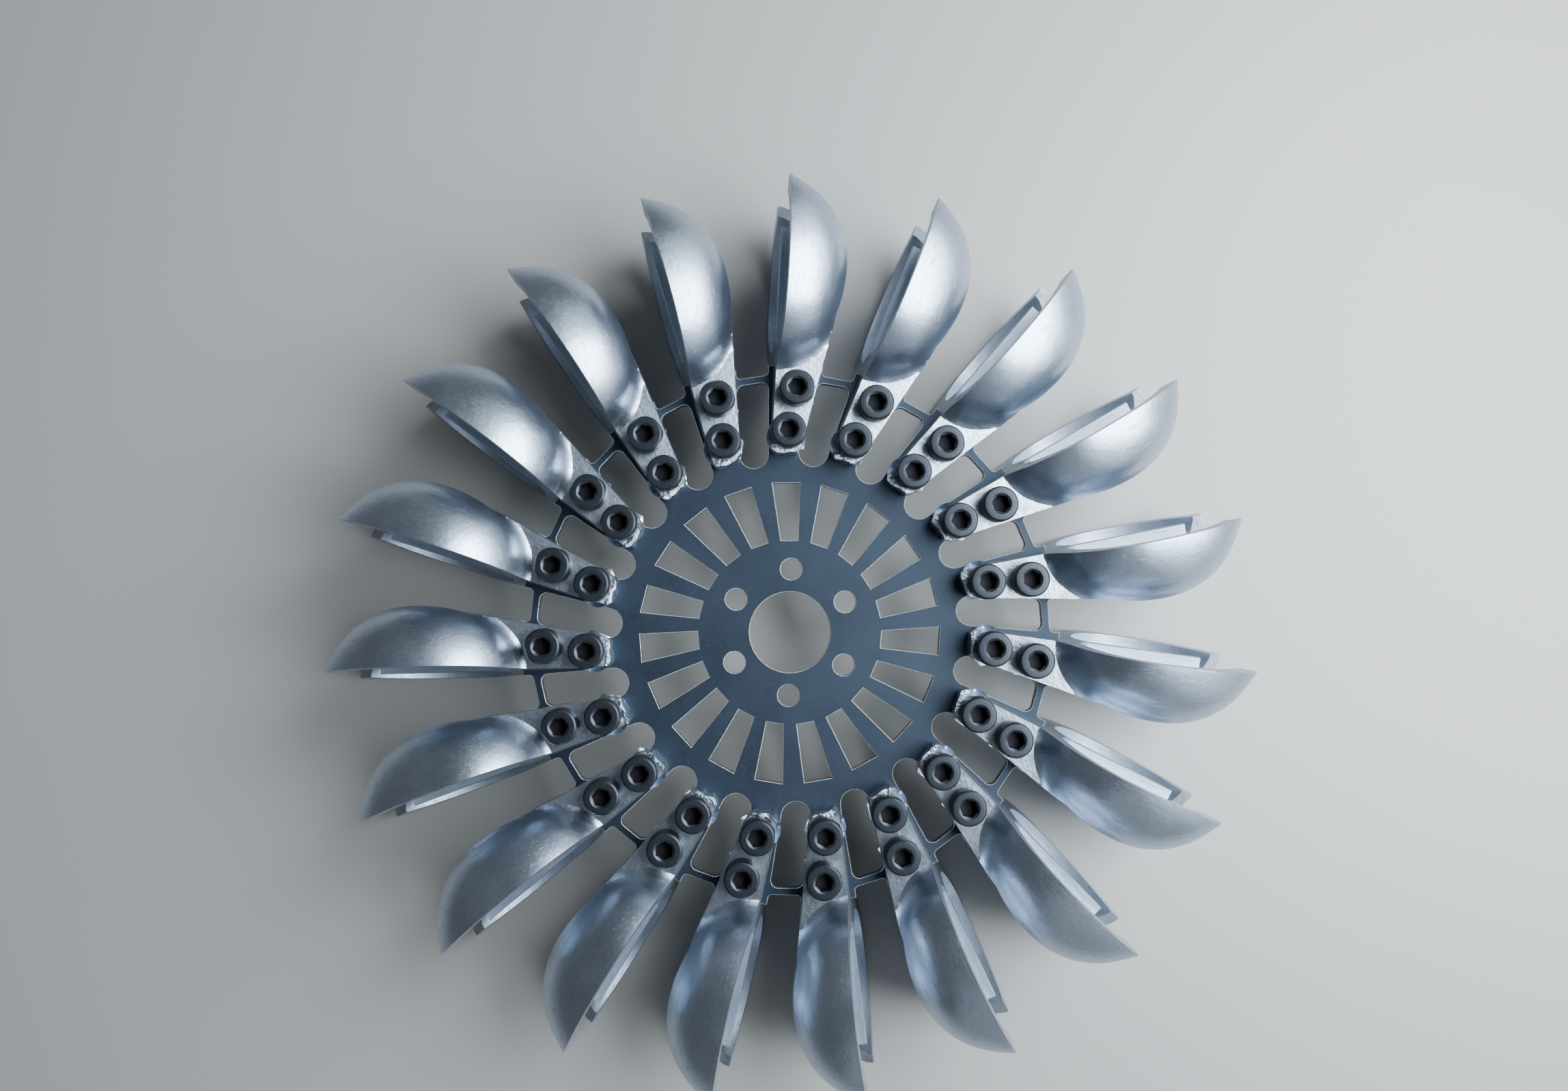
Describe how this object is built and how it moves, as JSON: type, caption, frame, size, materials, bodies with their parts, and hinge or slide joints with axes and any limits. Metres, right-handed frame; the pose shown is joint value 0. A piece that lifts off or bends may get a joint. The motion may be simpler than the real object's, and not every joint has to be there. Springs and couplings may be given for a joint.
{
  "type": "pelton wheel",
  "caption": "Small Pelton turbine wheel: a slotted steel runner disc with split double-cup buckets bolted round it by their stems.",
  "frame": {"origin": "centre of the shaft bore, half way through the runner disc", "axes": "+Z along the shaft axis, towards the side that the stems are bolted on; +Y outwards through bucket_01; the open cups face counter-clockwise seen from +Z"},
  "size_m": [0.339, 0.3384, 0.0694],
  "materials": {
    "blued_steel": "dark blue-grey mill finish on laser-cut steel plate, bright at the cut edges",
    "cast_aluminium": "satin cast aluminium, ground flat on the rim and the stem",
    "black_oxide_steel": "dull black oxide on the socket head screws, which are dressed in the scene",
    "zinc_plated_steel": "bright zinc on the lock nuts under the disc, which are dressed in the scene"
  },
  "bodies": {
    "root": {"runner_disc": "blued_steel", "bucket_01": "cast_aluminium", "bucket_02": "cast_aluminium", "bucket_03": "cast_aluminium", "bucket_04": "cast_aluminium", "bucket_05": "cast_aluminium", "bucket_06": "cast_aluminium", "bucket_07": "cast_aluminium", "bucket_08": "cast_aluminium", "bucket_09": "cast_aluminium", "bucket_10": "cast_aluminium", "bucket_11": "cast_aluminium", "bucket_12": "cast_aluminium", "bucket_13": "cast_aluminium", "bucket_14": "cast_aluminium", "bucket_15": "cast_aluminium", "bucket_16": "cast_aluminium", "bucket_17": "cast_aluminium", "bucket_18": "cast_aluminium", "bucket_19": "cast_aluminium"}
  },
  "joints": []
}
